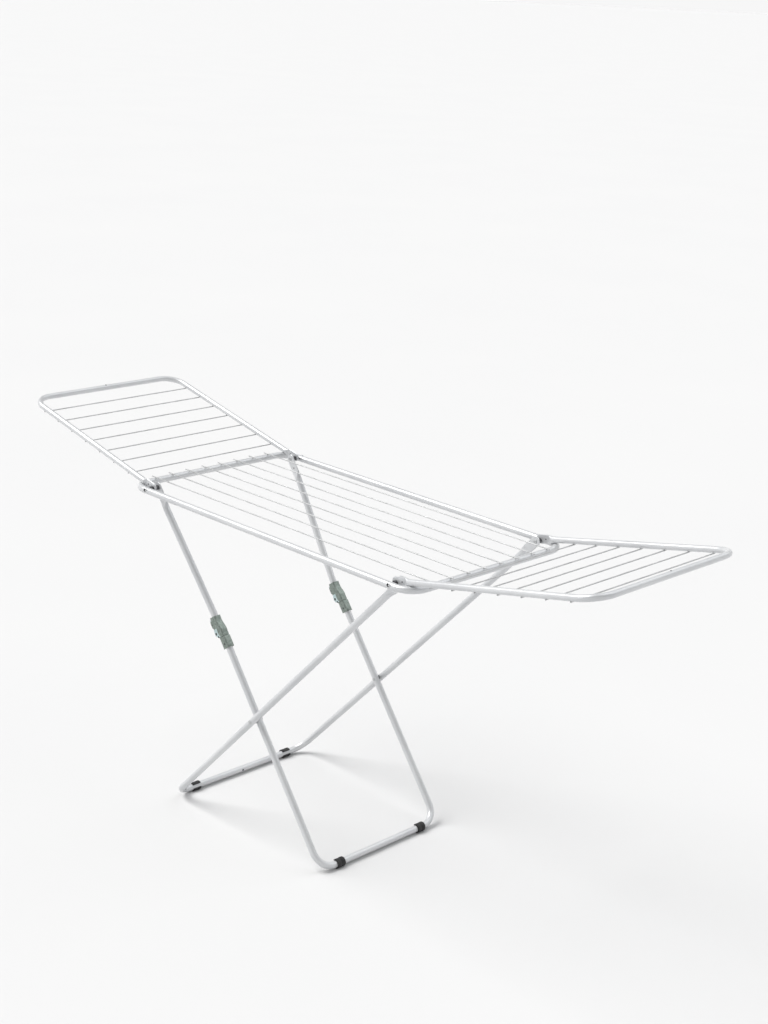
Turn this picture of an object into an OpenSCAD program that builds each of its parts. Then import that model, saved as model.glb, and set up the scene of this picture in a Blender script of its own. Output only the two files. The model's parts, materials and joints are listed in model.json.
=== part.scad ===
// Winged clothes drying rack: a wire bed on folding X legs, with a hinged wing at each end.
// X runs along the bed, Y across it and Z up. The origin is on the floor under the centre.

/* [Bed] */
// Height of the bed tube's centreline above the floor
bed_z = 872; // [860:1:880]
// Distance from the middle to the end tube's centreline
bed_half_len = 519; // [514:1:524]
// Distance from the middle to a side rail's centreline
rail_y = 266; // [266:0.5:268]
// Bend radius of the bed's corners, at the centreline
bed_bend = 48; // [44:1:48]
// Outside diameter of the bed and leg tube
tube_d = 18; // [18]
// Wall thickness of every tube
wall = 1; // [0.8:0.1:1.2]

/* [Wings] */
// Length from a wing's pins to its outer tube's centreline
wing_len = 580; // [560:1:590]
// Distance from the middle to a wing's side tube centreline
wing_y = 248.6; // [248.4:0.1:248.7]
// Outside diameter of the wing tube
wing_d = 16; // [16]
// Bend radius of the wing's corners, at the centreline
wing_bend = 55; // [45:1:65]
// Slope of a wing whose side tubes bear on the bed's bends
wing_angle = 12.3; // [12.3:0.1:13.5]
// Height of a wing's centreline above its pins, square to the wing
wing_rise = 3.2; // [3.2]

/* [Wires] */
// Diameter of the drying wires
wire_d = 3.2; // [3:0.1:3.4]
// Number of wires on the bed
bed_wires = 8; // [8]
// Spacing of the bed wires
bed_wire_pitch = 56; // [54:0.5:56]
// Number of wires on each wing
wing_wires = 7; // [7]
// Spacing of the wing wires
wing_wire_pitch = 67.5; // [64:0.5:68]
// Distance from a wing's pins to its first wire
wing_wire_first = 108; // [100:1:112]
// How far a wire is sunk into its tube by the weld
weld_sink = 0.4; // [0.3:0.1:0.5]

/* [Corner pins] */
// Distance from the end tube's centreline in to the corner pins
pin_inset = 62; // [60:1:66]
// Height of the corner pins above the bed tube's centreline
pin_lift = 3.5; // [3:0.5:4]
// Diameter of the corner pins
pin_d = 6; // [6]
// Radial clearance of a turning pin in its hole
pin_gap = 0.05; // [0.03:0.01:0.08]

/* [Legs] */
// Height of the feet tubes' centreline above the floor
foot_z = 11.5; // [11.5]
// Position along X of the one-piece outer leg's foot
outer_foot_x = -377; // [-380:1:-374]
// Position along X of the folding inner leg's foot
inner_foot_x = 195; // [190:1:200]
// Distance from the middle to the outer leg's centreline
outer_leg_y = 231.3; // [231.3]
// Distance from the middle to the inner leg's centreline
inner_leg_y = 210.5; // [210:0.1:210.6]
// Bend radius of the leg tubes, at the centreline
leg_bend = 48; // [42:1:56]
// Angle of the upper inner leg below the horizontal
upper_leg_angle = 54.55; // [54.4:0.05:54.7]

/* [Knee] */
// Distance along the upper leg from its top pin to the knee pin
knee_along = 418.5; // [418.5]
// Distance from the upper leg's centreline to the knee pin
knee_under = 9; // [9]
// Distance from the lower leg's centreline to the knee pin
knee_under_lower = 17; // [17]
// Thickness of the bracket plates
plate = 1.4; // [1.2:0.1:1.4]
// Diameter of the knee pin
knee_pin_d = 5; // [5]

/* [Feet] */
// Length of each rubber foot
foot_len = 26; // [22:1:30]
// Outside radius of the rubber feet
foot_r = 12.5; // [12.3:0.1:12.8]

/* [Hidden] */
$fn = 48;
tube_r = tube_d / 2;
wing_r = wing_d / 2;
wire_r = wire_d / 2;
pin_r = pin_d / 2;
knee_pin_r = knee_pin_d / 2;
pin_x = bed_half_len - pin_inset;
pin_z = bed_z + pin_lift;
eye_t = 3.2;
leg_eye_r = 13.2;
wing_eye_r = 11.8;
wing_eye_flat = 26;
wing_eye_end = 42;
leg_eye_flat = 34;
leg_eye_end = 62;
dimple_r = 1.8;
vent_r = 2.4;
head_r = 5.5;
head_t = 1.6;
side_gap = 0.3;
spacer_r = 6.5;
nub = 4;
// outer leg, from its top pin to its foot
outer_run = pin_x - outer_foot_x;
outer_fall = pin_z - foot_z;
outer_len = norm([outer_run, outer_fall]);
outer_angle = atan2(outer_fall, outer_run);
// knee pin, and the lower inner leg that hangs from it
knee_x = -pin_x + knee_along * cos(upper_leg_angle) - knee_under * sin(upper_leg_angle);
knee_z = pin_z - knee_along * sin(upper_leg_angle) - knee_under * cos(upper_leg_angle);
knee_to_foot = norm([inner_foot_x - knee_x, knee_z - foot_z]);
lower_angle = atan2(knee_z - foot_z, inner_foot_x - knee_x) + asin(knee_under_lower / knee_to_foot);
lower_len = sqrt(pow(knee_to_foot, 2) - pow(knee_under_lower, 2));
// where the two legs cross, as distances along each of them
lower_x0 = knee_x + knee_under_lower * sin(lower_angle);
lower_z0 = knee_z + knee_under_lower * cos(lower_angle);
cross_sin = sin(lower_angle + outer_angle);
cross_lower = ((pin_x - lower_x0) * sin(outer_angle) - (pin_z - lower_z0) * cos(outer_angle)) / cross_sin;
cross_outer = ((pin_x - lower_x0) * sin(lower_angle) + (lower_z0 - pin_z) * -cos(lower_angle)) / cross_sin;
clamp_len = 45;
// the upper inner leg leans in by this much over this run
upper_leg_in = outer_leg_y - inner_leg_y;
slant_to = knee_along - clamp_len - 8;
slant = atan2(upper_leg_in, slant_to - leg_eye_end);
slant_len = norm([upper_leg_in, slant_to - leg_eye_end]);
upper_leg_end = knee_along - 9;
fork_start = 14;
fork_end = 46;
bracket_half = tube_r + 0.05 + plate;
fork_inner = 7.2;
fork_outer = 8.65;
washer_t = outer_leg_y - inner_leg_y - tube_d - side_gap;
outer_foot_y = 165;
inner_foot_y = 146;

paint = [0.86, 0.87, 0.88];
wire_paint = [0.8, 0.81, 0.82];
zinc = [0.62, 0.68, 0.66];
steel = [0.35, 0.35, 0.36];
rubber = [0.06, 0.06, 0.06];
nylon = [0.15, 0.15, 0.16];

// ---- placing ----

// a pair of parts, one each side of the middle: side is -1 near and 1 far
module on_side(side) {
    if (side > 0) mirror([0, 1, 0]) children();
    else children();
}

// X runs down the outer leg from its top pins, and Z points to its underside
module outer_leg_axes() {
    translate([pin_x, 0, pin_z]) rotate([0, 180 - outer_angle, 0]) children();
}

// X runs down the upper inner leg from its top pins, and Z points to the bed
module upper_leg_axes() {
    translate([-pin_x, 0, pin_z]) rotate([0, upper_leg_angle, 0]) children();
}

// the same directions, from the knee pin
module clamp_axes() {
    upper_leg_axes() translate([knee_along, -inner_leg_y, -knee_under]) children();
}

// X runs down the lower inner leg from the knee pin
module lower_leg_axes() {
    translate([knee_x, 0, knee_z]) rotate([0, lower_angle, 0]) children();
}

// X runs out along the left wing from its pins, and Z points to its underside
module left_wing_axes() {
    translate([-pin_x, 0, pin_z]) rotate([0, 180 + wing_angle, 0]) children();
}

// a cylinder along Y between two distances from the middle, on the near side
module across(r, from, to) {
    translate([0, -from, 0]) rotate([90, 0, 0]) cylinder(r = r, h = to - from);
}

// ---- tube shapes ----

// a U of round bar: two sides from x = start, two bends and the end bar at x = len
module u_bar(r, start, len, half, bend) {
    for (side = [-1, 1]) {
        translate([start, side * half, 0]) rotate([0, 90, 0]) cylinder(r = r, h = len - bend - start);
        mirror([0, side < 0 ? 1 : 0, 0])
            translate([len - bend, half - bend, 0])
                rotate_extrude(angle = 90) translate([bend, 0]) circle(r = r);
    }
    translate([len, -(half - bend), 0]) rotate([-90, 0, 0]) cylinder(r = r, h = 2 * (half - bend));
}

// a tube's pinched end: a flat plate with a pin hole, blended into the tube at x = end
module eye(r, eye_r, flat, end, drop = 0, lean = 0) {
    difference() {
        union() {
            rotate([90, 0, 0]) cylinder(r = eye_r, h = eye_t, center = true);
            translate([0, -eye_t / 2, -eye_r]) cube([flat, eye_t, 2 * eye_r]);
        }
        translate([0, 0, drop]) rotate([90, 0, 0]) cylinder(r = pin_r + pin_gap, h = eye_t + 2, center = true);
        translate([flat - 6, 0, 0]) rotate([90, 0, 0]) cylinder(r = dimple_r, h = eye_t + 2, center = true);
    }
    hull() {
        translate([flat - 0.1, -eye_t / 2, -eye_r]) cube([0.1, eye_t, 2 * eye_r]);
        translate([end, 0, 0]) rotate([0, 0, lean]) translate([1.9, 0, 0])
            rotate([0, 90, 0]) cylinder(r = r - 0.5, h = 0.1, $fn = 32);
    }
}

// ---- bed ----

module bed_loop(r) {
    for (side = [-1, 1]) {
        translate([-(bed_half_len - bed_bend), side * rail_y, 0])
            rotate([0, 90, 0]) cylinder(r = r, h = 2 * (bed_half_len - bed_bend));
        translate([side * bed_half_len, -(rail_y - bed_bend), 0])
            rotate([-90, 0, 0]) cylinder(r = r, h = 2 * (rail_y - bed_bend));
    }
    for (mx = [0, 1]) for (my = [0, 1])
        mirror([mx, 0, 0]) mirror([0, my, 0])
            translate([bed_half_len - bed_bend, rail_y - bed_bend, 0])
                rotate_extrude(angle = 90) translate([bed_bend, 0]) circle(r = r);
}

module bed_frame() {
    color(paint) difference() {
        translate([0, 0, bed_z]) bed_loop(tube_r);
        translate([0, 0, bed_z]) bed_loop(tube_r - wall);
        for (sx = [-1, 1]) for (sy = [-1, 1])
            translate([sx * pin_x, sy * rail_y, pin_z])
                rotate([90, 0, 0]) cylinder(r = pin_r + pin_gap, h = tube_d + 4, center = true);
    }
}

module bed_wire(i) {
    reach = bed_half_len + tube_r + nub;
    color(wire_paint)
        translate([-reach, (i - (bed_wires + 1) / 2) * bed_wire_pitch, bed_z + tube_r + wire_r - weld_sink])
            rotate([0, 90, 0]) cylinder(r = wire_r, h = 2 * reach);
}

// ---- corner pins ----

module corner_pin(sx, side) {
    inner_end = outer_leg_y - eye_t / 2 - side_gap;
    outer_end = rail_y + tube_r;
    color(steel) translate([sx * pin_x, 0, pin_z]) on_side(side) difference() {
        union() {
            across(pin_r, inner_end - head_t, outer_end + head_t);
            across(head_r, outer_end, outer_end + head_t);
            across(pin_r + 1.6, inner_end - head_t, inner_end);
        }
        across(pin_r - 1.2, outer_end - 5, outer_end + head_t + 1);
    }
}

module corner_spacers() {
    color(nylon)
        for (sx = [-1, 1]) for (side = [-1, 1])
            translate([sx * pin_x, 0, pin_z]) on_side(side) {
                spacer(wing_y + eye_t / 2 + side_gap, rail_y - tube_r);
                spacer(outer_leg_y + eye_t / 2 + side_gap, wing_y - eye_t / 2 - side_gap);
            }
}

module spacer(from, to) {
    difference() {
        across(spacer_r, from, to);
        across(pin_r + pin_gap, from - 1, to + 1);
    }
}

// ---- wings ----

module wing_frame() {
    color(paint) left_wing_axes() translate([0, 0, -wing_rise]) {
        difference() {
            u_bar(wing_r, wing_eye_end, wing_len, wing_y, wing_bend);
            u_bar(wing_r - wall, wing_eye_end + 4, wing_len, wing_y, wing_bend);
            translate([wing_len, 0, -wing_r - 1]) cylinder(r = vent_r, h = wing_r + 1);
        }
        for (side = [-1, 1]) translate([0, side * wing_y, 0])
            eye(wing_r, wing_eye_r, wing_eye_flat, wing_eye_end, wing_rise);
    }
}

module wing_wire(i) {
    color(wire_paint) left_wing_axes()
        translate([wing_wire_first + (i - 1) * wing_wire_pitch, 0, wing_r + wire_r - weld_sink - wing_rise])
            rotate([90, 0, 0]) cylinder(r = wire_r, h = 2 * (wing_y + 4), center = true);
}

module wing_left_frame() { wing_frame(); }
module wing_right_frame() { mirror([1, 0, 0]) wing_frame(); }
module wing_left_wire(i) { wing_wire(i); }
module wing_right_wire(i) { mirror([1, 0, 0]) wing_wire(i); }

// ---- outer leg ----

module outer_leg_frame() {
    color(paint) outer_leg_axes() {
        difference() {
            u_bar(tube_r, leg_eye_end, outer_len, outer_leg_y, leg_bend);
            u_bar(tube_r - wall, leg_eye_end + 4, outer_len, outer_leg_y, leg_bend);
            translate([cross_outer, 0, 0]) for (side = [-1, 1])
                on_side(side) across(pin_r + pin_gap, outer_leg_y - tube_r - 1, outer_leg_y + tube_r + 1);
            translate([outer_len, 0, 0]) rotate([0, outer_angle - 90, 0]) cylinder(r = vent_r, h = tube_r + 1);
        }
        for (side = [-1, 1]) translate([0, side * outer_leg_y, 0])
            eye(tube_r, leg_eye_r, leg_eye_flat, leg_eye_end);
    }
}

module crossing_rivet(side) {
    outer_end = outer_leg_y + tube_r;
    color(steel) outer_leg_axes() translate([cross_outer, 0, 0]) on_side(side) {
        across(pin_r, outer_leg_y - tube_r, outer_end);
        across(head_r, outer_end, outer_end + head_t);
    }
}

// ---- upper inner legs and their knee clamps ----

module upper_leg(side) {
    color(paint) upper_leg_axes() on_side(side) translate([0, -outer_leg_y, 0]) {
        difference() {
            upper_leg_run(0, slant_len + 1, upper_leg_end, 0);
            upper_leg_run(4, slant_len + 2, upper_leg_end + 1, wall);
        }
        eye(tube_r, leg_eye_r, leg_eye_flat, leg_eye_end, 0, slant);
    }
}

// a bar that leans in towards the middle, then a straight stub that fits the clamp
module upper_leg_run(from, lean_to, to, inset) {
    translate([leg_eye_end, 0, 0]) rotate([0, 0, slant]) translate([from, 0, 0])
        rotate([0, 90, 0]) cylinder(r = tube_r - 0.2 - inset, h = lean_to - from);
    translate([slant_to - 1, upper_leg_in, 0])
        rotate([0, 90, 0]) cylinder(r = tube_r - inset, h = to - slant_to + 1);
}

// the clamp's side plate, in X and Z from the knee pin
module clamp_side() {
    polygon([
        [-clamp_len, -1.4], [-clamp_len, knee_under + bracket_half], [-28, knee_under + bracket_half],
        [-6, 26], [12, 26], [12, 10], [13, 4], [9, -1], [0, -6.5], [-14, -3], [-19, -7], [-34, -7],
        [-36, -1.4]
    ]);
    circle(r = 6.5);
}

// a pair of side plates between two distances from the leg's middle
module side_pair(inner, outer) {
    for (side = [-1, 1]) on_side(side)
        translate([0, -inner, 0]) rotate([90, 0, 0]) linear_extrude(outer - inner) children();
}

module knee_clamp(side) {
    color(zinc) on_side(side) clamp_axes() difference() {
        union() {
            side_pair(tube_r + 0.05, bracket_half) clamp_side();
            translate([-clamp_len, -bracket_half, knee_under + tube_r + 0.05])
                cube([clamp_len - 28, 2 * bracket_half, plate]);
            translate([-28, -bracket_half, knee_under + tube_r + 0.05]) rotate([0, -16.6, 0])
                cube([22, 2 * bracket_half, plate]);
            translate([-7, -bracket_half, 24.6]) cube([19, 2 * bracket_half, plate]);
        }
        across(knee_pin_r + 0.02, -20, 20);
        translate([-26, 0, -4.3]) across(1.52, -20, 20);
        translate([9.5, 0, 5]) across(1.82, -20, 20);
    }
}

module knee_pin(side) {
    color(steel) on_side(side) clamp_axes() {
        across(knee_pin_r, -bracket_half, bracket_half);
        across(4, bracket_half, bracket_half + 0.6);
        across(4, -bracket_half - 0.6, -bracket_half);
    }
}

module lever_pin(side) {
    color(steel) on_side(side) clamp_axes() translate([-26, 0, -4.3]) {
        across(1.5, -bracket_half, bracket_half);
        across(2.4, bracket_half, bracket_half + 0.5);
        across(2.4, -bracket_half - 0.5, -bracket_half);
    }
}

// the second rivet of the clamp's outside faces
module clamp_rivet(side) {
    color(steel) on_side(side) clamp_axes() translate([9.5, 0, 5]) for (end = [-1, 1]) on_side(end) {
        across(1.8, tube_r + 0.05, bracket_half);
        across(3, bracket_half, bracket_half + 0.6);
    }
}

// a sprung thumb plate, rolled round its pin
module lock_lever(side) {
    half = tube_r - 0.35;
    nose_half = fork_inner - 0.4;
    color(zinc) on_side(side) clamp_axes() translate([-26, 0, -4.3]) difference() {
        union() {
            across(2.7, -half, half);
            translate([-13, -half, -2.7]) cube([19, 2 * half, 1.3]);
            translate([-13, -half, -4]) cube([1.3, 2 * half, 2.6]);
            translate([5, -nose_half, -2.7]) cube([13, 2 * nose_half, 1.3]);
        }
        across(1.56, -20, 20);
    }
}

// ---- lower inner leg ----

module inner_leg_frame() {
    color(paint) lower_leg_axes() translate([0, 0, knee_under_lower]) difference() {
        u_bar(tube_r, fork_start + 2, lower_len, inner_leg_y, leg_bend);
        u_bar(tube_r - wall, fork_start + 1, lower_len, inner_leg_y, leg_bend);
        translate([cross_lower, 0, 0]) for (side = [-1, 1])
            on_side(side) across(pin_r + pin_gap, inner_leg_y - tube_r - 1, inner_leg_y + tube_r + 1);
        translate([lower_len, 0, -tube_r - 1]) cylinder(r = vent_r, h = tube_r + 1);
    }
}

module crossing_stud(side) {
    inner_end = inner_leg_y - tube_r;
    outer_end = inner_leg_y + tube_r;
    color(steel) lower_leg_axes() translate([cross_lower, 0, knee_under_lower]) on_side(side) {
        across(pin_r, inner_end, outer_end);
        across(pin_r + 1.6, inner_end - head_t, inner_end);
        across(8, outer_end, outer_end + washer_t);
    }
}

module knee_fork(side) {
    color(zinc) on_side(side) lower_leg_axes() translate([0, -inner_leg_y, 0]) difference() {
        union() {
            side_pair(fork_inner, fork_outer) union() {
                circle(r = 6.2);
                polygon([[-3, 5.4], [4, 20], [fork_start + 1.8, 24], [fork_start + 1.8, 7], [4.4, -4.4]]);
            }
            side_pair(fork_inner, bracket_half)
                translate([fork_start, 7]) square([1.8, knee_under_lower + bracket_half - 7]);
            side_pair(tube_r + 0.05, bracket_half) polygon([
                [fork_start, 7], [fork_start, knee_under_lower + bracket_half],
                [fork_end, knee_under_lower + bracket_half], [fork_end, 12], [fork_end - 6, 7]
            ]);
            translate([fork_start, -bracket_half, knee_under_lower + tube_r + 0.05])
                cube([fork_end - fork_start, 2 * bracket_half, plate]);
        }
        across(knee_pin_r + 0.05, -20, 20);
        translate([fork_end - 12, 0, knee_under_lower]) across(2.02, -20, 20);
    }
}

// fixes the fork to its tube: a rivet head each side
module fork_rivet(side) {
    color(steel) on_side(side) lower_leg_axes()
        translate([fork_end - 12, -inner_leg_y, knee_under_lower]) for (end = [-1, 1]) on_side(end) {
            across(2, tube_r + 0.05, bracket_half);
            across(3, bracket_half, bracket_half + 0.6);
        }
}

// ---- feet ----

// a rubber clip on the foot tube, with a flat tread on the floor and a mouth turned up and inwards
module foot_clip(mouth) {
    rotate([90, 0, 0]) translate([0, 0, -foot_len / 2]) linear_extrude(foot_len) difference() {
        intersection() {
            circle(r = foot_r);
            translate([-foot_r, -foot_z]) square([2 * foot_r, foot_z + foot_r]);
        }
        circle(r = tube_r);
        rotate(mouth) polygon([[0, 0], [-8, 14], [8, 14]]);
    }
}

module foot_outer(side) {
    color(rubber) translate([outer_foot_x, side * outer_foot_y, foot_z]) foot_clip(-70);
}

module foot_inner(side) {
    color(rubber) translate([inner_foot_x, side * inner_foot_y, foot_z]) foot_clip(70);
}

// ---- nodes ----

bed_frame();
for (i = [1 : bed_wires])
    bed_wire(i);
wing_left_frame();
wing_right_frame();
for (i = [1 : wing_wires]) {
    wing_left_wire(i);
    wing_right_wire(i);
}
corner_pin(-1, -1);  // corner_pin_left_near
corner_pin(-1, 1);  // corner_pin_left_far
corner_pin(1, -1);  // corner_pin_right_near
corner_pin(1, 1);  // corner_pin_right_far
corner_spacers();
outer_leg_frame();
crossing_rivet(-1);  // crossing_rivet_near
crossing_rivet(1);  // crossing_rivet_far
foot_outer(-1);  // foot_outer_near
foot_outer(1);  // foot_outer_far
upper_leg(-1);  // upper_leg_near
upper_leg(1);  // upper_leg_far
knee_clamp(-1);  // knee_clamp_near
knee_clamp(1);  // knee_clamp_far
knee_pin(-1);  // knee_pin_near
knee_pin(1);  // knee_pin_far
clamp_rivet(-1);  // clamp_rivet_near
clamp_rivet(1);  // clamp_rivet_far
lever_pin(-1);  // lever_pin_near
lever_pin(1);  // lever_pin_far
lock_lever(-1);  // lock_lever_near
lock_lever(1);  // lock_lever_far
inner_leg_frame();
knee_fork(-1);  // knee_fork_near
knee_fork(1);  // knee_fork_far
fork_rivet(-1);  // fork_rivet_near
fork_rivet(1);  // fork_rivet_far
crossing_stud(-1);  // crossing_stud_near
crossing_stud(1);  // crossing_stud_far
foot_inner(-1);  // foot_inner_near
foot_inner(1);  // foot_inner_far
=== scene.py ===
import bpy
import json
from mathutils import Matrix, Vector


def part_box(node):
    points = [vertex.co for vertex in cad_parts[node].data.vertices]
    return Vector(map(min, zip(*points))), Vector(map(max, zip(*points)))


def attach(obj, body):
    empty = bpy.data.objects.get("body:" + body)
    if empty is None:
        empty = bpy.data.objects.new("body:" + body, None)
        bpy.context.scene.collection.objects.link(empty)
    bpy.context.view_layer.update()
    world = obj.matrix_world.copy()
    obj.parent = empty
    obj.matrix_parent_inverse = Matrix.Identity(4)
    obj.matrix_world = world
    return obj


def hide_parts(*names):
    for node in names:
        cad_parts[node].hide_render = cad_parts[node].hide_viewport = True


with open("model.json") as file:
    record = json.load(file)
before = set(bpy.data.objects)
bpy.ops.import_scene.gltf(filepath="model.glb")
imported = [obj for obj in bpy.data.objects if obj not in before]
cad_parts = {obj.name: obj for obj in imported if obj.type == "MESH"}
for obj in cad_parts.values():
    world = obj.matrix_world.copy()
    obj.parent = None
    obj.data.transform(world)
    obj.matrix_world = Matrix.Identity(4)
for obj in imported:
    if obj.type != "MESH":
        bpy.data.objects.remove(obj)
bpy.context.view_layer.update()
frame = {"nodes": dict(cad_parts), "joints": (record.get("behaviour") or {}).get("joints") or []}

import json
import math

import bmesh
import bpy
from mathutils import Matrix, Vector

MM = 0.001
MERGE = 0.002 * MM
JOINTS = {joint["name"]: joint for joint in frame["joints"]}

# ---- sizes, in metres ----

TUBE_R = 9 * MM
WING_R = 8 * MM
WIRE_R = 1.6 * MM
PIN_R = 3 * MM
BED_Z = 872 * MM
BED_HALF = 519 * MM
RAIL_Y = 266 * MM
BED_BEND = 48 * MM
WING_LEN = 580 * MM
WING_Y = 248.6 * MM
WING_BEND = 55 * MM
WING_RISE = 3.2 * MM
WING_SLOPE = math.radians(12.3)
LEG_BEND = 48 * MM
OUTER_Y = 231.3 * MM
INNER_Y = 210.5 * MM
FOOT_Z = 11.5 * MM
OUTER_FOOT_X = -377 * MM
INNER_FOOT_X = 195 * MM
UPPER_SLOPE = math.radians(54.55)
KNEE_ALONG = 418.5 * MM
KNEE_UNDER = 9 * MM
KNEE_UNDER_LOWER = 17 * MM
EYE_T = 3.2 * MM
EYE_SIDE = EYE_T / 2 + 0.3 * MM
EYE_TIP = 0.9 * MM
LEG_EYE_R = 13.2 * MM
LEG_FLAT_FROM = 34 * MM
LEG_ROUND_FROM = 62 * MM
WING_EYE_R = 11.8 * MM
WING_FLAT_FROM = 26 * MM
WING_ROUND_FROM = 42 * MM
BED_WIRES = 8
BED_WIRE_PITCH = 56 * MM
WING_WIRES = 7
WING_WIRE_FIRST = 108 * MM
WING_WIRE_PITCH = 67.5 * MM
WIRE_NUB = 4 * MM
WIRE_SINK = 0.4 * MM
VENT_R = 2.3 * MM
HEAD_T = 1.6 * MM
HEAD_R = 5.5 * MM
PLATE_T = 1.4 * MM
BRACKET_HALF = 10.45 * MM
CLAMP_SWELL = 6.55 * MM
FOOT_R = 12.5 * MM
FOOT_HALF = 13 * MM
FOOT_GAP = math.radians(30)
OUTER_FOOT_Y = 165 * MM
INNER_FOOT_Y = 146 * MM

RIGHT_PIN = Vector(JOINTS["leg_fold"]["pos_m"])
LEFT_PIN = Vector(JOINTS["upper_leg_fold"]["pos_m"])
KNEE = Vector(JOINTS["knee_fold"]["pos_m"])

outer_slope = math.atan2(RIGHT_PIN.z - FOOT_Z, RIGHT_PIN.x - OUTER_FOOT_X)
outer_len = math.hypot(RIGHT_PIN.z - FOOT_Z, RIGHT_PIN.x - OUTER_FOOT_X)
knee_to_foot = math.hypot(KNEE.z - FOOT_Z, INNER_FOOT_X - KNEE.x)
knee_fall = math.atan2(KNEE.z - FOOT_Z, INNER_FOOT_X - KNEE.x)
lower_slope = knee_fall + math.asin(KNEE_UNDER_LOWER / knee_to_foot)
lower_len = math.sqrt(knee_to_foot**2 - KNEE_UNDER_LOWER**2)


def hung_from(point, turn):
    """X runs along a leg or wing from its pins."""
    return Matrix.Translation(point) @ Matrix.Rotation(turn, 4, "Y")


BED_AXES = Matrix.Translation((0, 0, BED_Z))
OUTER_AXES = hung_from(RIGHT_PIN, math.pi - outer_slope)
UPPER_AXES = hung_from(LEFT_PIN, UPPER_SLOPE)
LOWER_AXES = hung_from(KNEE, lower_slope)
WING_AXES = {
    "left": hung_from(LEFT_PIN, math.pi + WING_SLOPE),
    "right": Matrix.Scale(-1, 4, (1, 0, 0)) @ hung_from(LEFT_PIN, math.pi + WING_SLOPE),
}
MIRROR_Y = Matrix.Scale(-1, 4, (0, 1, 0))
SIDES = {"near": Matrix.Identity(4), "far": MIRROR_Y}

# ---- finishes ----


class Signal:
    """One output of a shader node, which takes part in sums."""

    def __init__(self, finish, socket):
        self.finish = finish
        self.socket = socket

    def _sum(self, operation, first, second):
        return self.finish.add("ShaderNodeMath", {"operation": operation}, {0: first, 1: second})

    def __add__(self, other):
        return self._sum("ADD", self, other)

    __radd__ = __add__

    def __sub__(self, other):
        return self._sum("SUBTRACT", self, other)

    def __rsub__(self, other):
        return self._sum("SUBTRACT", other, self)

    def __mul__(self, other):
        return self._sum("MULTIPLY", self, other)

    __rmul__ = __mul__

    def __truediv__(self, other):
        return self._sum("DIVIDE", self, other)

    def __rtruediv__(self, other):
        return self._sum("DIVIDE", other, self)

    def __pow__(self, other):
        return self._sum("POWER", self, other)

    def output(self, name):
        return Signal(self.finish, self.socket.node.outputs[name])


class Shading:
    """The nodes of one material or sky."""

    def __init__(self, tree):
        self.tree = tree

    def add(self, kind, settings=None, inputs=None):
        node = self.tree.nodes.new(kind)
        for name, value in (settings or {}).items():
            setattr(node, name, value)
        for name, value in (inputs or {}).items():
            if isinstance(value, Signal):
                self.tree.links.new(value.socket, node.inputs[name])
            else:
                node.inputs[name].default_value = value
        return Signal(self, node.outputs[0])

    def drive(self, node, socket, signal):
        self.tree.links.new(signal.socket, self.tree.nodes[node].inputs[socket])

    def step(self, signal, low, high):
        """0 below low, 1 above high, smooth in between."""
        return self.add(
            "ShaderNodeMapRange",
            {"clamp": True, "interpolation_type": "SMOOTHSTEP"},
            {"Value": signal, "From Min": low, "From Max": high, "To Min": 0.0, "To Max": 1.0},
        )

    def blend(self, factor, first, second):
        mixed = self.add("ShaderNodeMix", {"data_type": "RGBA"}, {0: factor, 6: first, 7: second})
        return Signal(self, mixed.socket.node.outputs[2])


class Finish(Shading):
    """A material whose look comes from patterns in the object's own space."""

    def __init__(self, name, **constants):
        self.material = bpy.data.materials.new(name)
        self.material.use_nodes = True
        super().__init__(self.material.node_tree)
        for socket, value in constants.items():
            self.tree.nodes["Principled BSDF"].inputs[socket.replace("_", " ")].default_value = value
        self.place = self.add("ShaderNodeTexCoord").output("Object")

    def noise(self, scale, detail=3.0, roughness=0.55, stretch=None):
        place = self.place
        if stretch:
            place = self.add("ShaderNodeMapping", None, {"Vector": place, "Scale": stretch})
        values = {"Vector": place, "Scale": scale, "Detail": detail, "Roughness": roughness}
        return self.add("ShaderNodeTexNoise", None, values)

    def shader(self, socket, signal):
        self.drive("Principled BSDF", socket, signal)

    def bump(self, height, depth, strength=1.0):
        bump = self.add("ShaderNodeBump", None, {"Strength": strength, "Distance": depth, "Height": height})
        self.shader("Normal", bump)


def tube_lacquer():
    finish = Finish("tube_lacquer", Metallic=0.35, Coat_Roughness=0.12, Coat_Weight=0.35)
    cloud = finish.noise(7, 4)
    peel = finish.noise(750, 2)
    grit = finish.noise(2600, 1)
    tint = finish.blend(finish.step(cloud, 0.3, 0.7), (0.56, 0.57, 0.585, 1), (0.63, 0.64, 0.65, 1))
    fleck = finish.step(finish.noise(420, 2), 0.70, 0.78)
    finish.shader("Base Color", finish.blend(fleck * 0.35, tint, (0.40, 0.415, 0.43, 1)))
    finish.shader("Roughness", 0.30 + cloud * 0.10 + fleck * 0.12)
    finish.bump(peel + grit * 0.25, 0.00006, 0.5)
    return finish.material


def wire_lacquer():
    finish = Finish("wire_lacquer", Metallic=0.3, Coat_Weight=0.25, Coat_Roughness=0.15)
    cloud = finish.noise(30, 3)
    run = finish.noise(900, 2)
    tint = finish.blend(finish.step(cloud, 0.3, 0.7), (0.42, 0.425, 0.43, 1), (0.52, 0.525, 0.53, 1))
    finish.shader("Base Color", tint)
    finish.shader("Roughness", 0.34 + cloud * 0.12)
    finish.bump(run, 0.00005, 0.5)
    return finish.material


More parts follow.
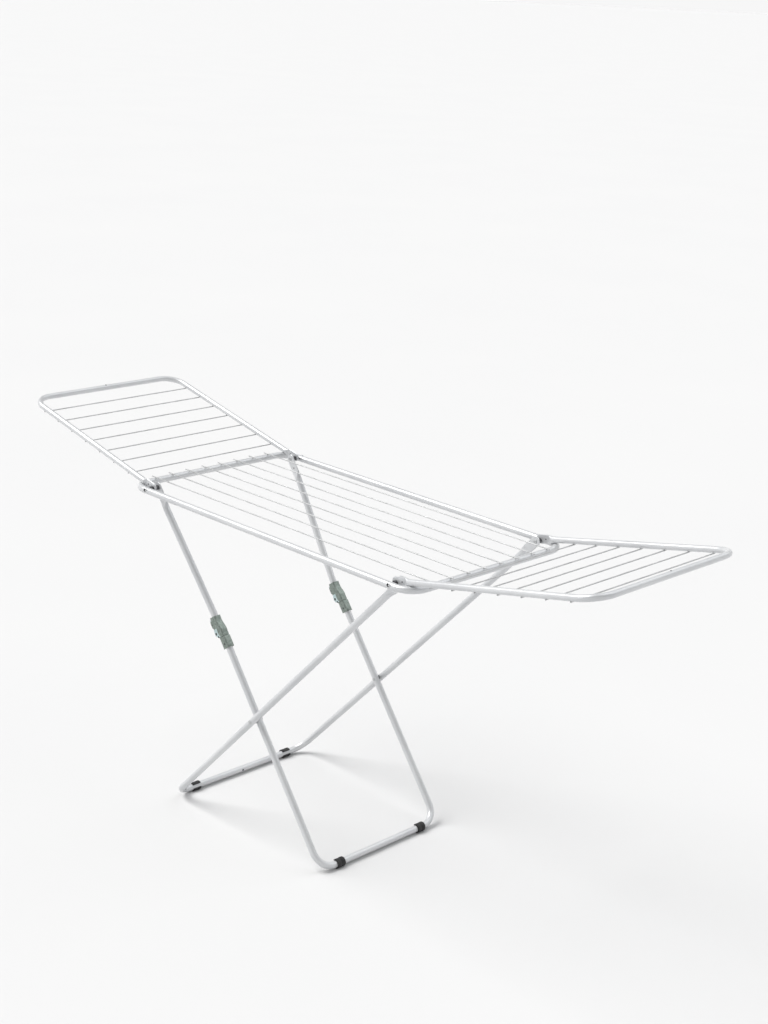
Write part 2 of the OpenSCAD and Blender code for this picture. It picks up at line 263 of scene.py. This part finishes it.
def zinc_plate(name, dark, light):
    finish = Finish(name, Metallic=0.85)
    grains = finish.add(
        "ShaderNodeTexVoronoi", {"feature": "F1"}, {"Vector": finish.place, "Scale": 260.0}
    ).output("Color")
    spangle = finish.add("ShaderNodeSeparateColor", None, {"Color": grains})
    cloud = finish.noise(90, 4)
    scuff = finish.step(finish.noise(160, 5, 0.7, (1, 1, 6)), 0.56, 0.68)
    finish.shader("Base Color", finish.blend(spangle * 0.5 + cloud * 0.5, dark, light))
    finish.shader("Roughness", 0.30 + spangle * 0.14 + scuff * 0.18)
    finish.bump(cloud + scuff * 0.3, 0.00008, 0.4)
    return finish.material


def rivet_steel(name="rivet_steel", dark=(0.42, 0.43, 0.43, 1), light=(0.62, 0.63, 0.64, 1)):
    finish = Finish(name, Metallic=0.9)
    cloud = finish.noise(220, 4)
    turned = finish.noise(1400, 2)
    finish.shader("Base Color", finish.blend(cloud, dark, light))
    finish.shader("Roughness", 0.28 + cloud * 0.22)
    finish.bump(turned, 0.00004, 0.5)
    return finish.material


def foot_rubber():
    finish = Finish("foot_rubber", Specular_IOR_Level=0.4)
    dust = finish.step(finish.noise(60, 5), 0.48, 0.75)
    pores = finish.noise(1600, 2)
    finish.shader("Base Color", finish.blend(dust, (0.012, 0.012, 0.013, 1), (0.035, 0.034, 0.033, 1)))
    finish.shader("Roughness", 0.52 + dust * 0.25)
    finish.bump(pores, 0.00008, 0.6)
    return finish.material


# Near-black washers, set as dark as the gaps between the corner plates and the rail.
def dark_washer():
    finish = Finish("dark_washer")
    cloud = finish.noise(300, 3)
    finish.shader("Base Color", finish.blend(cloud, (0.05, 0.05, 0.055, 1), (0.10, 0.10, 0.105, 1)))
    finish.shader("Roughness", 0.45 + cloud * 0.15)
    finish.bump(cloud, 0.00005, 0.4)
    return finish.material


def hole_shadow():
    finish = Finish("hole_shadow", Specular_IOR_Level=0.1)
    cloud = finish.noise(500, 2)
    finish.shader("Base Color", finish.blend(cloud, (0.008, 0.008, 0.009, 1), (0.02, 0.02, 0.02, 1)))
    finish.shader("Roughness", 0.8 + cloud * 0.1)
    return finish.material


LACQUER = tube_lacquer()
WIRE = wire_lacquer()
ZINC = zinc_plate("zinc_clamp", (0.13, 0.16, 0.145, 1), (0.34, 0.385, 0.35, 1))
ZINC_LIGHT = zinc_plate("zinc_lever", (0.38, 0.49, 0.50, 1), (0.66, 0.78, 0.78, 1))
RIVET = rivet_steel()
DARK_RIVET = rivet_steel("knee_rivet_steel", (0.05, 0.06, 0.06, 1), (0.14, 0.15, 0.15, 1))
RUBBER = foot_rubber()
DARK_WASHER = dark_washer()
# Painted shade: this near-black material is put on discs and patches where holes, bores and dimples would lie
# in shadow.
HOLE_SHADE = hole_shadow()

# ---- modelling helpers ----


def keep_piece(bm, name, body, finishes, stands_for=(), crease=40, axes=None):
    """Turns a bmesh into a finished piece on its body."""
    if axes is not None:
        bmesh.ops.transform(bm, matrix=axes, verts=bm.verts)
    bmesh.ops.remove_doubles(bm, verts=bm.verts, dist=MERGE)
    bmesh.ops.recalc_face_normals(bm, faces=bm.faces)
    mesh = bpy.data.meshes.new(name)
    bm.to_mesh(mesh)
    bm.free()
    for finish in finishes:
        mesh.materials.append(finish)
    mesh.shade_smooth()
    mesh.set_sharp_from_angle(angle=math.radians(crease))
    piece = bpy.data.objects.new(name, mesh)
    bpy.context.scene.collection.objects.link(piece)
    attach(piece, body)
    if stands_for:
        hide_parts(*stands_for)


def add_part(bm, part):
    """Moves one finished part into the bmesh of a bigger piece."""
    held = bpy.data.meshes.new("part")
    part.to_mesh(held)
    part.free()
    bm.from_mesh(held)
    bpy.data.meshes.remove(held)


def ease(t):
    """A smooth step from 0 to 1."""
    t = max(0.0, min(1.0, t))
    return t * t * (3 - 2 * t)


def extruded(bm, edges):
    """Extrudes a row of edges where it is, and gives the new verts and edges."""
    part = bmesh.ops.extrude_edge_only(bm, edges=edges)
    verts = [item for item in part["geom"] if isinstance(item, bmesh.types.BMVert)]
    fresh = set(verts)
    edges = [item for item in part["geom"] if isinstance(item, bmesh.types.BMEdge)]
    return verts, [edge for edge in edges if fresh.issuperset(edge.verts)]


class Bar:
    """A round bar grown ring by ring along X, in the XY plane."""

    def __init__(self, bm, radius, x, y, z=0.0, facets=32):
        self.bm = bm
        self.radius = radius
        self.round = bm.verts.layers.float_vector.get("round") or bm.verts.layers.float_vector.new("round")
        ring = bmesh.ops.create_circle(bm, segments=facets, radius=radius)["verts"]
        for vert in ring:
            across, up = vert.co.x / radius, vert.co.y / radius
            vert[self.round] = (across, up, 0)
            vert.co = Vector((x, y + across * radius, z + up * radius))
        self.edges = list({edge for vert in ring for edge in vert.link_edges})

    def verts(self):
        return list({vert for edge in self.edges for vert in edge.verts})

    def grow(self, offset=(0, 0, 0)):
        verts, self.edges = extruded(self.bm, self.edges)
        bmesh.ops.translate(self.bm, verts=verts, vec=offset)
        return self

    def run(self, length, direction=(1, 0, 0), pieces=1):
        for _ in range(pieces):
            self.grow(Vector(direction) * (length / pieces))
        return self

    def turn(self, centre, angle, steps=14):
        part = bmesh.ops.spin(
            self.bm, geom=self.edges, cent=centre, axis=(0, 0, 1), angle=angle, steps=steps, use_duplicate=False
        )
        self.edges = [item for item in part["geom_last"] if isinstance(item, bmesh.types.BMEdge)]
        return self

    def cap(self):
        bmesh.ops.contextual_create(self.bm, geom=self.edges)
        return self

    def shape(self, x, y, z, thick, high, flat):
        """Moves the last ring to x, pressed from a circle (flat = 0) to a plate (flat = 1)."""
        for vert in self.verts():
            across, up, _ = vert[self.round]
            pressed = max(-1.0, min(1.0, across * 2.4))
            vert.co = Vector((x, y + thick * (across * (1 - flat) + pressed * flat), z + high * up))
        return self

    def eye(self, y, eye_r, flat_from, round_from, z=0.0, steps=8):
        """The pinched end: the bar flattens, then ends in a half round about the pin at x = 0."""
        for i in range(1, steps + 1):
            flat = ease(i / steps)
            x = round_from + (flat_from - round_from) * i / steps
            thick = self.radius + (EYE_T / 2 - self.radius) * flat
            high = self.radius + (eye_r - self.radius) * flat
            self.grow().shape(x, y, z, thick, high, flat)
        for i in range(steps + 1):
            turn = math.radians(i * 10.9)
            high = max(eye_r * math.cos(turn), EYE_TIP)
            self.grow().shape(-eye_r * math.sin(turn), y, z, EYE_T / 2, high, 1)
        return self.cap()


def u_bar(bm, radius, round_from, flat_from, length, half, bend, eye_r, z=0.0, facets=32, straight=8):
    """A U of round bar with a pinched eye on each end, the whole bar in one piece."""
    straight_len = length - bend - round_from
    bar = Bar(bm, radius, round_from, -half, z, facets)
    first = list(bar.edges)
    bar.run(straight_len, pieces=straight)
    bar.turn((length - bend, -(half - bend), z), math.radians(90))
    bar.run(2 * (half - bend), (0, 1, 0), pieces=6)
    bar.turn((length - bend, half - bend, z), math.radians(90))
    bar.run(straight_len, (-1, 0, 0), pieces=straight)
    if eye_r:
        # the ring has gone half a turn round, so its own across runs the other way
        for vert in bar.verts():
            across, up, _ = vert[bar.round]
            vert[bar.round] = (-across, up, 0)
        bar.eye(half, eye_r, flat_from, round_from, z)
        bar.edges = first
        bar.eye(-half, eye_r, flat_from, round_from, z)
    else:
        bar.cap()
        bar.edges = first
        bar.cap()


def turned(bm, profile, along, facets=28):
    """Spins a profile of (distance along, radius) points about an axis, closed at both ends."""
    start, direction = along
    direction = Vector(direction).normalized()
    side = direction.orthogonal().normalized()
    verts = [bm.verts.new(Vector(start) + direction * reach + side * radius) for reach, radius in profile]
    edges = [bm.edges.new(pair) for pair in zip(verts, verts[1:])]
    bmesh.ops.spin(
        bm, geom=verts + edges, cent=start, axis=direction, angle=math.radians(360), steps=facets,
        use_merge=True,
    )
    bmesh.ops.remove_doubles(bm, verts=bm.verts, dist=MERGE)


def other_end(profile, length):
    """The profile of one end, as it stands on the other end of a piece of this length."""
    return [(length - reach, radius) for reach, radius in reversed(profile)]


def wire(bm, start, end):
    """A straight wire with softly rounded ends."""
    along = Vector(end) - Vector(start)
    soft = WIRE_R * 0.45
    tip = [(0, 0), (0, WIRE_R - soft), (soft * 0.35, WIRE_R - soft * 0.3), (soft, WIRE_R)]
    middle = [(along.length * share / 8, WIRE_R) for share in range(1, 8)]
    turned(bm, tip + middle + other_end(tip, along.length), (start, along), 12)


def weld(bm, centre, size):
    """A low bead of weld where a wire sits on its tube."""
    verts = bmesh.ops.create_icosphere(bm, subdivisions=2, radius=1)["verts"]
    bmesh.ops.transform(bm, matrix=Matrix.Translation(centre) @ Matrix.Diagonal((*size, 1)), verts=verts)


def channel(bm, stations, corner=2.6 * MM, steps=5):
    """A pressed channel, open below, through (x, half width, lower edge, top) stations."""
    order = bm.verts.layers.int.new("order")
    edges = []
    for x, half, low, top in stations:
        path = [(-half, low), (-half, (low + top - corner) / 2)]
        for i in range(steps + 1):
            turn = math.radians(90 * i / steps)
            path.append((-half + corner * (1 - math.cos(turn)), top - corner * (1 - math.sin(turn))))
        path += [(-y, z) for y, z in reversed(path)]
        if edges:
            verts, edges = extruded(bm, edges)
        else:
            verts = [bm.verts.new() for _ in path]
            edges = [bm.edges.new(pair) for pair in zip(verts, verts[1:])]
            for i, vert in enumerate(verts):
                vert[order] = i
        for vert in verts:
            vert.co = (x, *path[vert[order]])


def plate_thickness(bm, rim=0.3 * MM):
    """Gives a sheet its thickness inwards and rounds the cut edges a little."""
    bmesh.ops.recalc_face_normals(bm, faces=bm.faces)
    bmesh.ops.solidify(bm, geom=bm.faces[:], thickness=PLATE_T)
    sharp = [edge for edge in bm.edges if not edge.is_boundary and edge.calc_face_angle(0) > 1.2]
    bmesh.ops.bevel(
        bm, geom=sharp, offset=rim, offset_type="OFFSET", segments=2, profile=0.5, affect="EDGES", material=-1,
        clamp_overlap=True,
    )


def hole_shade_dot(name, body, axes, where, direction, radius):
    """A small dark disc with a worn rim: painted shade standing in for a hole, which is not cut into the
    surface.
    """
    bm = bmesh.new()
    turned(
        bm,
        [(-0.8 * MM, 0), (-0.8 * MM, radius * 0.9), (0.05 * MM, radius), (0.22 * MM, radius * 0.98),
         (0.16 * MM, radius * 0.86), (0.08 * MM, 0)],
        (where, direction),
        20,
    )
    keep_piece(bm, name, body, [HOLE_SHADE], axes=axes)


# ---- bed ----


def bed_frame():
    bm = bmesh.new()
    bar = Bar(bm, TUBE_R, 0, -RAIL_Y, facets=36)
    first = list(bar.edges)
    straight = BED_HALF - BED_BEND
    corner = RAIL_Y - BED_BEND
    bar.run(straight, pieces=5)
    bar.turn((straight, -corner, 0), math.radians(90), steps=16)
    bar.run(2 * corner, (0, 1, 0), pieces=6)
    bar.turn((straight, corner, 0), math.radians(90), steps=16)
    bar.run(2 * straight, (-1, 0, 0), pieces=10)
    bar.turn((-straight, corner, 0), math.radians(90), steps=16)
    bar.run(2 * corner, (0, -1, 0), pieces=6)
    bar.turn((-straight, -corner, 0), math.radians(90), steps=16)
    bar.run(straight, pieces=5)
    keep_piece(bm, "bed_tube", "bed", [LACQUER], ["bed_frame"], axes=BED_AXES)


def bed_wires():
    reach = BED_HALF + TUBE_R + WIRE_NUB
    height = TUBE_R + WIRE_R - WIRE_SINK
    for i in range(1, BED_WIRES + 1):
        y = (i - (BED_WIRES + 1) / 2) * BED_WIRE_PITCH
        bm = bmesh.new()
        wire(bm, (-reach, y, height), (reach, y, height))
        for x in (-BED_HALF, BED_HALF):
            weld(bm, (x, y, TUBE_R + 0.1 * MM), (4.2 * MM, 2.6 * MM, 1.3 * MM))
        keep_piece(bm, f"bed_drying_wire_{i}", "bed", [WIRE], [f"bed_wire_{i}"], axes=BED_AXES)


# ---- wings ----


def wings():
    for side in ("left", "right"):
        axes = WING_AXES[side] @ Matrix.Translation((0, 0, -WING_RISE))
        body = f"wing_{side}"
        bm = bmesh.new()
        u_bar(bm, WING_R, WING_ROUND_FROM, WING_FLAT_FROM, WING_LEN, WING_Y, WING_BEND, WING_EYE_R)
        keep_piece(bm, f"wing_{side}_tube", body, [LACQUER], [f"wing_{side}_frame"], axes=axes)
        height = WING_R + WIRE_R - WIRE_SINK
        for i in range(1, WING_WIRES + 1):
            x = WING_WIRE_FIRST + (i - 1) * WING_WIRE_PITCH
            bm = bmesh.new()
            wire(bm, (x, -WING_Y - WIRE_NUB, height), (x, WING_Y + WIRE_NUB, height))
            for y in (-WING_Y, WING_Y):
                weld(bm, (x, y, WING_R + 0.1 * MM), (2.6 * MM, 3.8 * MM, 1.3 * MM))
            keep_piece(
                bm, f"wing_{side}_drying_wire_{i}", body, [WIRE], [f"wing_{side}_wire_{i}"],
                axes=axes,
            )
        # Painted shade: the vent and the dimples are dark discs on the tube, standing for the shade in a hole
        # and in pressed dents.
        hole_shade_dot(f"wing_{side}_vent", body, axes, (WING_LEN, 0, -WING_R), (0, 0, -1), VENT_R)
        for name, y in (("near", -WING_Y), ("far", WING_Y)):
            for face in (-1, 1):
                hole_shade_dot(
                    f"wing_{side}_dimple_{name}_{'out' if face * y > 0 else 'in'}",
                    body, axes, (20 * MM, y + face * EYE_T / 2, 0), (0, face, 0), 1.7 * MM,
                )


# ---- corner pins ----


def hollow_rivet(bm, inner, outer, tail_r):
    """A hollow rivet along -Y: a rolled head with a bore outside and a flat tail inside. The bore's darkness is
    painted shade, added in corner_pins.
    """
    length = outer - inner
    turned(
        bm,
        [(-HEAD_T, 0), (-HEAD_T, tail_r - 0.6 * MM), (-HEAD_T + 0.5 * MM, tail_r), (0, tail_r), (0, PIN_R),
         (length, PIN_R), (length, HEAD_R - 0.4 * MM), (length + 0.5 * MM, HEAD_R),
         (length + HEAD_T - 0.3 * MM, HEAD_R - 0.9 * MM), (length + HEAD_T, HEAD_R - 1.4 * MM),
         (length + HEAD_T - 0.9 * MM, HEAD_R - 2.1 * MM), (length - 0.5 * MM, PIN_R - 0.6 * MM),
         (length - 4 * MM, PIN_R - 0.7 * MM), (length - 4 * MM, 0)],
        ((0, -inner, 0), (0, -1, 0)),
    )


def corner_pins():
    outside = RAIL_Y + TUBE_R
    bore_r = 3.9 * MM
    for side, pin in (("left", LEFT_PIN), ("right", RIGHT_PIN)):
        for face, flip in SIDES.items():
            bm = bmesh.new()
            hollow_rivet(bm, OUTER_Y - EYE_SIDE, outside, 4.6 * MM)
            # Painted shade: the bore faces and the inner slope of the head, within bore_r of the axis, take the
            # near-black shade material.
            for patch in bm.faces:
                centre = patch.calc_center_median()
                if math.hypot(centre.x, centre.z) < bore_r and -2 * MM < centre.y + outside < 6 * MM:
                    patch.material_index = 1
            keep_piece(
                bm, f"corner_rivet_{side}_{face}", "bed", [RIVET, HOLE_SHADE], [f"corner_pin_{side}_{face}"],
                axes=Matrix.Translation(pin) @ flip,
            )
    bm = bmesh.new()
    rim = [(0, 3.1 * MM), (0, 6.1 * MM), (0.4 * MM, 6.5 * MM)]
    gaps = ((WING_Y + EYE_SIDE, RAIL_Y - TUBE_R), (OUTER_Y + EYE_SIDE, WING_Y - EYE_SIDE))
    for pin in (LEFT_PIN, RIGHT_PIN):
        for flip in SIDES.values():
            for inner, outer in gaps:
                washer = bmesh.new()
                turned(washer, rim + other_end(rim, outer - inner) + rim[:1], ((0, -inner, 0), (0, -1, 0)))
                bmesh.ops.transform(washer, matrix=Matrix.Translation(pin) @ flip, verts=washer.verts)
                add_part(bm, washer)
    keep_piece(bm, "corner_washers", "bed", [DARK_WASHER], ["corner_spacers"])


# ---- outer leg ----


def outer_leg():
    bm = bmesh.new()
    u_bar(
        bm, TUBE_R, LEG_ROUND_FROM, LEG_FLAT_FROM, outer_len, OUTER_Y, LEG_BEND, LEG_EYE_R,
        facets=36, straight=14,
    )
    keep_piece(
        bm, "outer_leg_tube", "outer_leg", [LACQUER], ["outer_leg_frame"], axes=OUTER_AXES
    )
    bar_centre = OUTER_AXES @ Vector((outer_len, 0, 0))
    # Painted shade: a dark disc on the bar stands for the vent hole.
    hole_shade_dot("outer_leg_vent", "outer_leg", None, bar_centre + Vector((TUBE_R, 0, 0)), (1, 0, 0), 3 * MM)
    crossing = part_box("crossing_rivet_near")
    centre = (crossing[0] + crossing[1]) / 2
    across = 2 * TUBE_R
    for face, flip in SIDES.items():
        bm = bmesh.new()
        turned(
            bm,
            [(0, 0), (0, PIN_R), (across, PIN_R), (across, 5.2 * MM), (across + 0.5 * MM, HEAD_R),
             (across + 1.2 * MM, 4.4 * MM), (across + HEAD_T, 2.6 * MM), (across + HEAD_T, 0)],
            ((centre.x, TUBE_R - OUTER_Y, centre.z), (0, -1, 0)),
        )
        keep_piece(
            bm, f"crossing_head_{face}", "outer_leg", [RIVET], [f"crossing_rivet_{face}"],
            axes=flip,
        )


# ---- inner leg ----


def upper_legs():
    tube_end = KNEE_ALONG - 9 * MM
    bend_x = KNEE_ALONG - 53 * MM
    bend_r = 50 * MM
    lean = math.atan2(OUTER_Y - INNER_Y, bend_x - LEG_ROUND_FROM)
    along, aside = bend_r * math.sin(lean), bend_r * (1 - math.cos(lean))
    slant = Vector((bend_x - LEG_ROUND_FROM - 2 * along, OUTER_Y - INNER_Y - 2 * aside, 0))
    for face, flip in SIDES.items():
        bm = bmesh.new()
        bar = Bar(bm, TUBE_R, LEG_ROUND_FROM, -OUTER_Y, facets=36)
        first = list(bar.edges)
        bar.turn((LEG_ROUND_FROM, bend_r - OUTER_Y, 0), lean, steps=3)
        bar.run(slant.length, slant.normalized(), pieces=6)
        bar.turn((bend_x, -INNER_Y - bend_r, 0), -lean, steps=3)
        bar.run(tube_end - bend_x, pieces=2)
        bar.cap()
        bar.edges = first
        bar.eye(-OUTER_Y, LEG_EYE_R, LEG_FLAT_FROM, LEG_ROUND_FROM)
        keep_piece(
            bm, f"upper_tube_{face}", "upper_legs", [LACQUER], [f"upper_leg_{face}"],
            axes=flip @ UPPER_AXES,
        )
        # Painted shade: dark discs on the flat plate stand for the pressed dimples.
        for way in (-1, 1):
            hole_shade_dot(
                f"upper_dimple_{face}_{'in' if way > 0 else 'out'}", "upper_legs", flip @ UPPER_AXES,
                (28 * MM, -OUTER_Y + way * EYE_T / 2, 0), (0, way, 0), 1.8 * MM,
            )


def inner_leg():
    bm = bmesh.new()
    u_bar(bm, TUBE_R, 16 * MM, 0, lower_len, INNER_Y, LEG_BEND, None, KNEE_UNDER_LOWER, facets=36, straight=12)
    keep_piece(
        bm, "inner_leg_tube", "inner_leg", [LACQUER], ["inner_leg_frame"], axes=LOWER_AXES
    )
    # Painted shade: a dark disc under the bar stands for the vent hole.
    vent = (lower_len, 0, KNEE_UNDER_LOWER - TUBE_R)
    hole_shade_dot("inner_leg_vent", "inner_leg", LOWER_AXES, vent, (0, 0, -1), VENT_R)
    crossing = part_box("crossing_stud_near")
    centre = (crossing[0] + crossing[1]) / 2
    across = 2 * TUBE_R
    for face, flip in SIDES.items():
        bm = bmesh.new()
        turned(
            bm,
            [(-HEAD_T, 0), (-HEAD_T, 2.8 * MM), (-0.6 * MM, 4.6 * MM), (0, 4.6 * MM), (0, PIN_R),
             (across, PIN_R), (across, 7.6 * MM), (across + 0.4 * MM, 8 * MM), (across + 2.1 * MM, 8 * MM),
             (across + 2.5 * MM, 7.6 * MM), (across + 2.5 * MM, 0)],
            ((centre.x, TUBE_R - INNER_Y, centre.z), (0, -1, 0)),
        )
        keep_piece(
            bm, f"crossing_post_{face}", "inner_leg", [RIVET], [f"crossing_stud_{face}"],
            axes=flip,
        )


# ---- knees ----

CLAMP_EDGE = (
    (-45, -1.4), (-37, -1.4), (-35, -7), (-19, -7), (-15, -3.2),
    (-7, -5), (0, -6.5), (5, -4.6), (9, -1), (12, 6),
)


def clamp_shell(name, body, node, axes):
    """The upper half of the knee: its back swells out over the pin in a smooth S."""
    edge = []
    for (x0, low0), (x1, low1) in zip(CLAMP_EDGE, CLAMP_EDGE[1:]):
        edge += [(x0 + (x1 - x0) * share, low0 + (low1 - low0) * share) for share in (0, 0.25, 0.5, 0.75)]
    edge.append(CLAMP_EDGE[-1])
    back = KNEE_UNDER + BRACKET_HALF
    bm = bmesh.new()
    channel(bm, [(x * MM, BRACKET_HALF, low * MM, back + CLAMP_SWELL * ease((x + 32) / 27)) for x, low in edge])
    plate_thickness(bm)
    for face in bm.faces:
        centre = face.calc_center_median()
        if centre.x > -13 * MM and centre.z < 7 * MM + centre.x * 0.25:
            face.material_index = 1
    keep_piece(bm, name, body, [ZINC, ZINC_LIGHT], [node], axes=axes)


def fork_shell(name, body, node, axes):
    """The lower half of the knee: a short channel round the tube with two round ears."""
    bm = bmesh.new()
    channel(bm, [((14 + 8 * i) * MM, BRACKET_HALF, 7 * MM, KNEE_UNDER_LOWER + BRACKET_HALF) for i in range(5)])
    plate_thickness(bm)
    for way in (-1, 1):
        ear = bmesh.new()
        verts = bmesh.ops.create_circle(ear, segments=28, radius=6.2 * MM, cap_ends=True)["verts"]
        for vert in verts:
            x, z = vert.co.x, vert.co.y
            if x > 1 * MM:
                x, z = x + 12.5 * MM, z + 10.5 * MM
            vert.co = Vector((x, way * 7.2 * MM, z))
        part = bmesh.ops.extrude_face_region(ear, geom=ear.faces[:], use_keep_orig=True)
        far = [item for item in part["geom"] if isinstance(item, bmesh.types.BMVert)]
        bmesh.ops.translate(ear, verts=far, vec=(0, way * 1.45 * MM, 0))
        add_part(bm, ear)
    keep_piece(bm, name, body, [ZINC], [node], axes=axes)


def headed_pin(name, body, node, shank_r, head_r, head_t):
    """A plain pin along Y with a low domed head on both ends."""
    low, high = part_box(node)
    centre = (low + high) / 2
    head = [(0, 0), (0, head_r * 0.55), (head_t * 0.35, head_r * 0.9), (head_t * 0.8, head_r),
            (head_t, head_r * 0.98), (head_t, shank_r)]
    bm = bmesh.new()
    turned(bm, head + other_end(head, high.y - low.y), ((centre.x, low.y, centre.z), (0, 1, 0)))
    keep_piece(bm, name, body, [DARK_RIVET], [node])


def knees():
    for face, flip in SIDES.items():
        clamp_axes = flip @ UPPER_AXES @ Matrix.Translation((KNEE_ALONG, -INNER_Y, -KNEE_UNDER))
        fork_axes = flip @ LOWER_AXES @ Matrix.Translation((0, -INNER_Y, 0))
        clamp_shell(f"knee_shell_{face}", "upper_legs", f"knee_clamp_{face}", clamp_axes)
        fork_shell(f"knee_socket_{face}", "inner_leg", f"knee_fork_{face}", fork_axes)
        headed_pin(f"knee_hinge_pin_{face}", "upper_legs", f"knee_pin_{face}", 2.5 * MM, 4 * MM, 1 * MM)
        headed_pin(f"knee_stop_rivet_{face}", "upper_legs", f"clamp_rivet_{face}", 1.8 * MM, 3 * MM, 0.9 * MM)
        headed_pin(f"lever_hinge_pin_{face}", "upper_legs", f"lever_pin_{face}", 1.5 * MM, 2.4 * MM, 0.8 * MM)
        headed_pin(f"socket_rivet_{face}", "inner_leg", f"fork_rivet_{face}", 1.8 * MM, 3 * MM, 0.9 * MM)
        materials = frame["nodes"][f"lock_lever_{face}"].data.materials
        materials.clear()
        materials.append(ZINC_LIGHT)


# ---- feet ----


def feet():
    soft, ridge = 0.9 * MM, 0.5 * MM
    end = [
        (FOOT_HALF, TUBE_R), (FOOT_HALF, FOOT_R - soft), (FOOT_HALF - 0.3 * soft, FOOT_R - 0.3 * soft),
        (FOOT_HALF - soft, FOOT_R), (3 * MM, FOOT_R), (2.4 * MM, FOOT_R - ridge),
    ]
    section = [(-y, radius) for y, radius in end] + end[::-1]
    for leg, x, offset, mouth in (
        ("outer", OUTER_FOOT_X, OUTER_FOOT_Y, math.radians(20)),
        ("inner", INNER_FOOT_X, INNER_FOOT_Y, math.radians(160)),
    ):
        lip = mouth + FOOT_GAP
        for face, flip in SIDES.items():
            bm = bmesh.new()
            verts = [bm.verts.new((radius * math.cos(lip), y, radius * math.sin(lip))) for y, radius in section]
            bmesh.ops.spin(
                bm, geom=[bm.faces.new(verts)], cent=(0, 0, 0), axis=(0, -1, 0),
                angle=2 * math.pi - 2 * FOOT_GAP, steps=40, use_duplicate=False,
            )
            bmesh.ops.remove_doubles(bm, verts=bm.verts, dist=MERGE)
            bmesh.ops.bisect_plane(
                bm, geom=bm.verts[:] + bm.edges[:] + bm.faces[:], plane_co=(0, 0, -FOOT_Z), plane_no=(0, 0, -1),
                clear_outer=True,
            )
            bmesh.ops.holes_fill(bm, edges=[edge for edge in bm.edges if edge.is_boundary], sides=0)
            keep_piece(
                bm, f"{leg}_foot_clip_{face}", f"{leg}_leg", [RUBBER], [f"foot_{leg}_{face}"],
                axes=flip @ Matrix.Translation((x, -offset, FOOT_Z)),
            )


# ---- room ----


def facing(back, roll=0.0):
    """Right, up and back of a lamp or camera, turned by roll about its own view."""
    level = Vector((0, 0, 1)).cross(back).normalized()
    upright = back.cross(level)
    right = level * math.cos(roll) + upright * math.sin(roll)
    up = upright * math.cos(roll) - level * math.sin(roll)
    return Matrix((right, up, back)).transposed()


def studio():
    scene = bpy.context.scene
    floor_half = 300
    floor_mesh = bpy.data.meshes.new("studio_floor")
    bm = bmesh.new()
    bmesh.ops.create_grid(bm, x_segments=1, y_segments=1, size=floor_half)
    bm.to_mesh(floor_mesh)
    bm.free()
    floor = bpy.data.objects.new("studio_floor", floor_mesh)
    scene.collection.objects.link(floor)
    pale = Finish("studio_paper", Roughness=0.9, Specular_IOR_Level=0.1)
    cloud = pale.noise(0.7, 2)
    pale.shader("Base Color", pale.blend(cloud, (0.63, 0.63, 0.635, 1), (0.65, 0.65, 0.65, 1)))
    floor_mesh.materials.append(pale.material)
    world = bpy.data.worlds.new("studio_air")
    world.use_nodes = True
    sky = Shading(world.node_tree)
    height = sky.add("ShaderNodeSeparateXYZ", None, {"Vector": sky.add("ShaderNodeTexCoord")}).output("Z")
    overhead = sky.step(height, 0.2, 0.45)
    sky.drive("Background", "Color", sky.blend(overhead, (0.93, 0.93, 0.93, 1), (0.30, 0.30, 0.30, 1)))
    world.node_tree.nodes["Background"].inputs["Strength"].default_value = 1.0
    scene.world = world
    for name, place, angle, power, colour in (
        ("key_light", (-2.2, -1.6, 4.0), 38, 3.4, (1, 0.995, 0.985)),
        ("fill_light", (1.0, 2.6, 4.2), 60, 1.0, (0.97, 0.985, 1)),
    ):
        light = bpy.data.lights.new(name, "SUN")
        light.angle, light.energy, light.color = math.radians(angle), power, colour
        lamp = bpy.data.objects.new(name, light)
        back = (Vector(place) - Vector((0, 0, 0.4))).normalized()
        lamp.matrix_world = Matrix.Translation(place) @ facing(back).to_4x4()
        scene.collection.objects.link(lamp)


def camera():
    scene = bpy.context.scene
    turn, rise, roll = math.radians(45.086), math.radians(17.93), math.radians(2.443)
    back = Vector((math.sin(turn) * math.cos(rise), -math.cos(turn) * math.cos(rise), math.sin(rise)))
    aside, above, away = 0.1286, 0.3776, 4.3616
    axes = facing(back, roll)
    place = Vector((0, 0, 0.45)) + axes @ Vector((aside, above, away))
    data = bpy.data.cameras.new("studio_camera")
    data.sensor_width = 36
    data.lens = 58.37
    data.shift_y = 0.0116
    data.clip_end = 900
    view = bpy.data.objects.new("studio_camera", data)
    view.matrix_world = Matrix.Translation(place) @ axes.to_4x4()
    scene.collection.objects.link(view)
    scene.camera = view


bed_frame()
bed_wires()
wings()
corner_pins()
outer_leg()
upper_legs()
inner_leg()
knees()
feet()
studio()
camera()
bpy.context.scene.view_settings.view_transform = "Standard"
